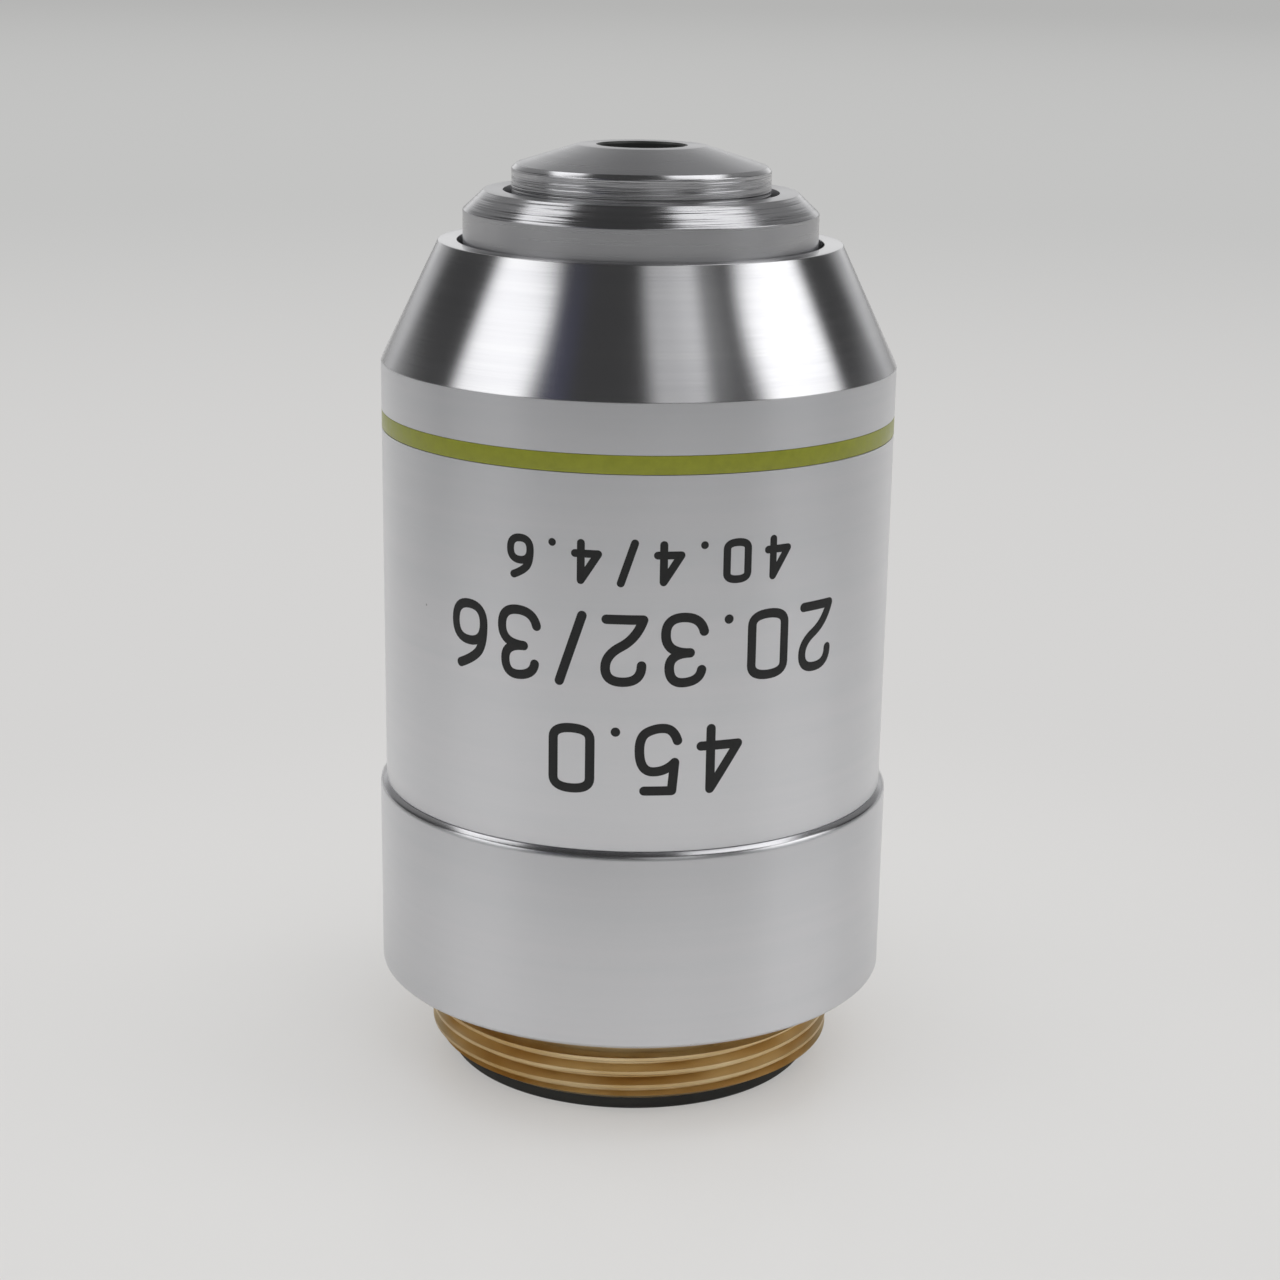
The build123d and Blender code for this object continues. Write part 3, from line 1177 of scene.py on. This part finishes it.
@dataclass
class LensStack:
    """All lenses, front first, and the black cells and rings that hold them."""

    lenses: list[Lens] = field(
        default_factory=lambda: [
            Lens("front_lens", 3.38, 44.30, -0.25, 42.70, 0.90, CROWN_GLASS, Slot.CROWN),
            Lens("middle_lens", 4.65, 39.00, -0.15, 37.80, 0.85, CROWN_GLASS, Slot.CROWN),
            Lens("front_doublet_crown", 5.55, 32.40, 0.55, 31.40, 1.10, CROWN_GLASS, Slot.CROWN),
            Lens("front_doublet_flint", 5.55, 31.38, -1.10, 29.08, -0.30, FLINT_GLASS, Slot.FLINT),
            Lens("rear_doublet_crown", 5.55, 19.78, 0.45, 18.88, 0.85, CROWN_GLASS, Slot.CROWN),
            Lens("rear_doublet_flint", 5.55, 18.86, -0.85, 16.76, -0.25, FLINT_GLASS, Slot.FLINT),
        ]
    )
    black_nodes: tuple[str, ...] = (
        "front_lens_ring",
        "middle_cell",
        "middle_lens_ring",
        "front_spacer",
        "front_doublet_cell",
        "front_doublet_ring",
        "aperture_stop",
        "rear_spacer",
        "rear_doublet_cell",
        "rear_doublet_ring",
        "stack_ring",
    )

    def build(self) -> None:
        """Grind the lenses and blacken what holds them."""
        for lens in self.lenses:
            lens.build()
        dress_nodes(self.black_nodes, BLACK_OXIDE)


@dataclass
class Spring:
    """Compression spring that holds the nose out, with its washer and the guide screw."""

    mean_r: float = 9.645
    wire_r: float = 0.40
    low_z: float = 18.40
    high_z: float = 31.48
    pressed_z: float = 29.48
    turns: int = 6
    turn_steps: int = 48
    wire_steps: int = 14
    steel_nodes: tuple[str, ...] = ("spring_washer", "guide_screw")

    def build(self) -> None:
        """Wind the spring, grind its ends and dress the steel pieces."""
        deselect()
        bpy.ops.mesh.primitive_circle_add(
            vertices=self.wire_steps,
            radius=self.wire_r,
            location=(self.mean_r, 0, self.low_z),
            rotation=(math.pi / 2, 0, 0),
        )
        piece = bpy.context.object
        piece.name = piece.data.name = "coil_spring"
        bpy.ops.object.transform_apply(location=True, rotation=True, scale=True)
        wind(piece, (self.high_z - self.low_z) / self.turns, self.turns, self.turn_steps)
        for height, side in ((self.low_z, -1), (self.high_z, 1)):
            bpy.ops.object.mode_set(mode="EDIT")
            weld()
            bpy.ops.mesh.bisect(
                plane_co=(0, 0, height),
                plane_no=(0, 0, side),
                use_fill=True,
                clear_outer=True,
                threshold=WELD,
            )
            bpy.ops.object.mode_set(mode="OBJECT")
        bpy.ops.object.mode_set(mode="EDIT")
        bpy.ops.mesh.select_all(action="SELECT")
        bpy.ops.mesh.fill_holes(sides=0)
        close_mesh()
        hand_over(piece, Body.MOUNT, [SPRING_STEEL], "retract_spring")
        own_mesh(piece)
        dress_nodes(self.steel_nodes, SPRING_STEEL)


@dataclass(frozen=True)
class Glow(Finish):
    """Light of a panel, which fades towards its edges and lets the room through.

    Attributes:
        colour: Colour of the light.
        level: Brightness, where 1 is white.
        edge: Share of the half width over which it fades out.
        half: Half the side of the panel before it is scaled, in metres.
    """

    colour: str
    level: float
    edge: float
    half: float

    def surface(self, tree: Tree) -> Socket:
        """Add the light's nodes.

        Args:
            tree: Node tree that gets the nodes.

        Returns:
            The shader.
        """
        place = put(tree, "ShaderNodeTexCoord").outputs["Object"]
        split = put(tree, "ShaderNodeSeparateXYZ", None, {0: place})
        fades = []
        for axis in ("X", "Y"):
            size = put(tree, "ShaderNodeMath", {"operation": "ABSOLUTE"}, {0: split.outputs[axis]})
            inputs = {"Value": size.outputs["Value"], "To Min": 1.0, "To Max": 0.0}
            inputs |= {"From Min": self.half * (1 - self.edge), "From Max": self.half}
            fades.append(put(tree, "ShaderNodeMapRange", SMOOTH, inputs).outputs["Result"])
        both = put(tree, "ShaderNodeMath", TIMES, {0: fades[0], 1: fades[1]}).outputs["Value"]
        level = put(tree, "ShaderNodeMath", TIMES, {0: both, 1: self.level}).outputs["Value"]
        inputs = {"Color": linear(self.colour), "Strength": level}
        glow = put(tree, "ShaderNodeEmission", None, inputs)
        clear = put(tree, "ShaderNodeBsdfTransparent", None, {"Color": linear(WHITE)})
        inputs = {0: glow.outputs["Emission"], 1: clear.outputs["BSDF"]}
        return put(tree, "ShaderNodeAddShader", None, inputs).outputs["Shader"]


@dataclass(frozen=True)
class GlowPanel:
    """Lit panel with soft edges that the metal mirrors.

    Attributes:
        name: Name of the panel.
        azimuth: Direction from the front towards the right, in degrees.
        elevation: Height above the horizon, in degrees.
        width: Width as seen from the object, in degrees.
        height: Height as seen from the object, in degrees.
        glow: Brightness, where 1 is white.
        edge: Share of the half width over which it fades out.
        colour: Colour of its light.
        distance: Distance from the object, in metres.
    """

    name: str
    azimuth: float
    elevation: float
    width: float
    height: float
    glow: float
    edge: float = 0.4
    colour: str = WHITE
    distance: float = 0.6

    def build(self, target: Vector) -> None:
        """Hang the panel.

        Args:
            target: Point that it looks at, in metres.
        """
        a, e = math.radians(self.azimuth), math.radians(self.elevation)
        away = Vector((math.sin(a) * math.cos(e), -math.cos(a) * math.cos(e), math.sin(e)))
        place = target + away * self.distance
        deselect()
        bpy.ops.mesh.primitive_plane_add(size=2 * self.distance, location=place)
        panel = bpy.context.object
        panel.name = self.name
        panel.rotation_mode = "QUATERNION"
        panel.rotation_quaternion = (-away).to_track_quat("Z", "Y")
        wide, high = (math.tan(math.radians(size / 2)) for size in (self.width, self.height))
        panel.scale = (wide, high, 1)
        panel.visible_camera = False
        light = Glow(self.name + "_glow", self.colour, self.glow, self.edge, self.distance)
        panel.data.materials.append(light.material())


@dataclass(frozen=True)
class PaleFloor(Finish):
    """Pale cloth that takes the contact shadow, with painted shade on it in front of the object,
    and a plain pale tone to the camera beyond it, with painted light in it: lighter near the
    object, and close to it half of what is seen, which lightens the shadow there.

    Attributes:
        painted_light_share: Share of the plain tone close to the object: painted light that
            lightens the contact shadow there.
        radii: Where the plain tone starts, is full, and takes its second and third tone, in metres.
        painted_falloff_tones: Colours of the plain tone, from near to far, lighter near the object:
            a painted falloff of light.
        cloth: Colours of the cloth, first near and behind the object, then in front of it, where
            the darker colour is painted shade that the metal mirrors.
        painted_shade_radii: Radii between which the painted shade on the cloth comes in, in metres.
        painted_shade_y: Places along Y between which the painted shade comes in, towards the front,
            in metres.
        rough: Roughness of the cloth.
        gloss: Its specular level.
    """

    painted_light_share: float = 0.50
    radii: tuple[float, ...] = (0.012, 0.07, 0.45, 2.2)
    painted_falloff_tones: tuple[str, ...] = ("#D5D4D3", "#C4C4C3", FAR_TONE)
    cloth: tuple[str, str] = ("#F0EFED", "#BABAB9")
    painted_shade_radii: tuple[float, float] = (0.05, 0.17)
    painted_shade_y: tuple[float, float] = (0.10, 0.02)
    rough: float = 0.30
    gloss: float = 0.30

    def surface(self, tree: Tree) -> Socket:
        """Add the floor's nodes.

        Args:
            tree: Node tree that gets the nodes.

        Returns:
            The shader.
        """
        place = put(tree, "ShaderNodeTexCoord").outputs["Object"]
        length = put(tree, "ShaderNodeVectorMath", {"operation": "LENGTH"}, {0: place})
        reach = length.outputs["Value"]
        # Painted light: to the camera the floor glows with a plain tone that is lighter near the
        # object and darker far off. Close to the object half of what is seen is this glow, which
        # lightens the contact shadow.
        steps = []
        for low, high, least in zip(self.radii, self.radii[1:], (self.painted_light_share, 0.0, 0.0)):
            inputs = {"Value": reach, "From Min": low, "From Max": high, "To Min": least}
            steps.append(put(tree, "ShaderNodeMapRange", SMOOTH, inputs).outputs["Result"])
        camera = put(tree, "ShaderNodeLightPath").outputs["Is Camera Ray"]
        share = put(tree, "ShaderNodeMath", TIMES, {0: steps[0], 1: camera}).outputs["Value"]
        tone = linear(self.painted_falloff_tones[0])
        for step, colour in zip(steps[1:], self.painted_falloff_tones[1:]):
            inputs = {"Factor": step, COLOUR_A: tone, COLOUR_B: linear(colour)}
            tone = put(tree, "ShaderNodeMix", COLOURS, inputs).outputs[MIXED]
        # Painted shade: the cloth turns darker away from the object and in front of it, so that the
        # metal mirrors a darker floor there. The camera sees mostly the plain tone in those places.
        y = put(tree, "ShaderNodeSeparateXYZ", None, {0: place}).outputs["Y"]
        painted_shade_ramps = []
        for value, (low, high) in ((reach, self.painted_shade_radii), (y, self.painted_shade_y)):
            inputs = {"Value": value, "From Min": low, "From Max": high}
            painted_shade_ramps.append(put(tree, "ShaderNodeMapRange", None, inputs).outputs["Result"])
        away = put(tree, "ShaderNodeMath", TIMES, {0: painted_shade_ramps[0], 1: painted_shade_ramps[1]}).outputs["Value"]
        bright, painted_shade_colour = (linear(colour) for colour in self.cloth)
        inputs = {"Factor": away, COLOUR_A: bright, COLOUR_B: painted_shade_colour}
        cloth = put(tree, "ShaderNodeMix", COLOURS, inputs).outputs[MIXED]
        inputs = {"Base Color": cloth, "Roughness": self.rough, "Specular IOR Level": self.gloss}
        lit = put(tree, "ShaderNodeBsdfPrincipled", None, inputs).outputs["BSDF"]
        pale = put(tree, "ShaderNodeEmission", None, {"Color": tone, "Strength": 1.0})
        inputs = {0: share, 1: lit, 2: pale.outputs["Emission"]}
        return put(tree, "ShaderNodeMixShader", None, inputs).outputs["Shader"]


@dataclass
class Studio:
    """Pale floor, soft light and the camera at the photo's viewing angle.

    Places and sizes are in metres, angles in radians, the lens and its sensor in millimetres.
    """

    camera_place: tuple[float, float, float] = (0.0, -0.1221, 0.0544)
    pitch: float = 0.3005
    yaw: float = 0.0027
    roll: float = 0.0156
    lens: float = 71.86
    sensor: float = 36.0
    shift: float = 0.0686
    clip: tuple[float, float] = (0.005, 50.0)
    floor_size: float = 12.0
    floor_finish: PaleFloor = PaleFloor("pale_floor")
    lamp_place: tuple[float, float, float] = (0.0, -0.20, 0.36)
    lamp_size: float = 0.50
    lamp_watts: float = 0.50
    horizon: tuple[float, float] = (0.05, 0.28)  # sines of elevation between which it darkens
    room_light: tuple[float, float] = (0.45, 0.05)  # what the metal mirrors, low and high
    fill_light: float = 0.44  # what dull surfaces get
    target: tuple[float, float, float] = (0.0, 0.0, 0.038)
    panels: tuple[GlowPanel, ...] = (
        GlowPanel("left_panel", -74, 34, 44, 34, 1.45, 0.45),
        GlowPanel("right_panel", 84, 32, 48, 34, 1.60, 0.45),
        GlowPanel("upper_left_panel", -121, 55, 24, 24, 1.4),
        GlowPanel("upper_right_panel", 110, 64, 30, 36, 1.4),
        GlowPanel("cool_card", -42, 36, 20, 44, 0.05, 0.9, "#8890FF"),
        GlowPanel("front_card", 21, 44, 30, 40, 0.55, 0.5),
        GlowPanel("front_edge_card", 38, 44, 32, 40, 0.22, 0.9),
        GlowPanel("back_low_card", 180, 17, 64, 34, 0.32, 0.5),
        GlowPanel("back_card", 180, 32, 94, 64, 0.19, 0.3),
    )

    def build(self) -> None:
        """Set up floor, world, lights and camera."""
        self.build_floor()
        self.build_world()
        self.build_lamp()
        for panel in self.panels:
            panel.build(Vector(self.target))
        self.build_camera()
        bpy.context.scene.view_settings.view_transform = "Standard"

    def build_lamp(self) -> None:
        """Hang the soft lamp above, which lights the floor and isn't mirrored."""
        deselect()
        bpy.ops.object.light_add(type="AREA", location=self.lamp_place)
        lamp = bpy.context.object
        lamp.name = "overhead_lamp"
        lamp.rotation_euler = Vector(self.lamp_place).to_track_quat("Z", "Y").to_euler()
        lamp.data.size = self.lamp_size
        lamp.data.energy = self.lamp_watts
        lamp.visible_camera = False
        lamp.visible_glossy = False

    def build_floor(self) -> None:
        """Lay the pale floor."""
        deselect()
        bpy.ops.mesh.primitive_plane_add(size=self.floor_size, location=(0, 0, 0))
        floor = bpy.context.object
        floor.name = "floor"
        floor.data.materials.append(self.floor_finish.material())

    def build_world(self) -> None:
        """Make the room: pale all round, and in the metal pale at the horizon and dark above."""
        world = bpy.data.worlds.new("room")
        bpy.context.scene.world = world
        world.use_nodes = True
        tree = world.node_tree
        tree.nodes.clear()
        way = put(tree, "ShaderNodeTexCoord").outputs["Generated"]
        height = put(tree, "ShaderNodeSeparateXYZ", None, {0: way}).outputs["Z"]
        inputs = {"Value": height, "From Min": self.horizon[0], "From Max": self.horizon[1]}
        inputs |= {"To Min": self.room_light[0], "To Max": self.room_light[1]}
        level = put(tree, "ShaderNodeMapRange", SMOOTH, inputs).outputs["Result"]
        lights = []
        for colour, strength in ((WHITE, self.fill_light), (WHITE, level), (FAR_TONE, 1.0)):
            inputs = {"Color": linear(colour), "Strength": strength}
            lights.append(put(tree, "ShaderNodeBackground", None, inputs).outputs["Background"])
        surface, room, pale = lights
        path = put(tree, "ShaderNodeLightPath")
        rays = (("Is Camera Ray", pale), ("Is Glossy Ray", room), ("Is Transmission Ray", pale))
        for ray, light in rays:
            inputs = {0: path.outputs[ray], 1: surface, 2: light}
            surface = put(tree, "ShaderNodeMixShader", None, inputs).outputs["Shader"]
        put(tree, "ShaderNodeOutputWorld", None, {"Surface": surface})

    def build_camera(self) -> None:
        """Set the camera at the photo's place and angle."""
        flat = math.cos(self.pitch)
        ahead = Vector(
            (math.sin(self.yaw) * flat, math.cos(self.yaw) * flat, -math.sin(self.pitch))
        )
        level = Vector((math.cos(self.yaw), -math.sin(self.yaw), 0.0))
        up = level.cross(ahead)
        right = math.cos(self.roll) * level + math.sin(self.roll) * up
        up = right.cross(ahead)
        deselect()
        bpy.ops.object.camera_add()
        camera = bpy.context.object
        turn = Matrix((right, up, -ahead)).transposed().to_4x4()
        camera.matrix_world = Matrix.Translation(self.camera_place) @ turn
        camera.data.sensor_width = self.sensor
        camera.data.lens = self.lens
        camera.data.shift_y = self.shift
        camera.data.clip_start, camera.data.clip_end = self.clip
        bpy.context.scene.camera = camera


def main() -> None:
    logging.basicConfig(level=logging.INFO, format="%(name)s: %(message)s")
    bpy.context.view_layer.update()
    parts = (BaseCollar(), Sleeve(), EngravedNumbers(), Nose(), LensStack(), Spring(), Studio())
    for part in parts:
        part.build()
    deselect()


if __name__ == "__main__":
    main()
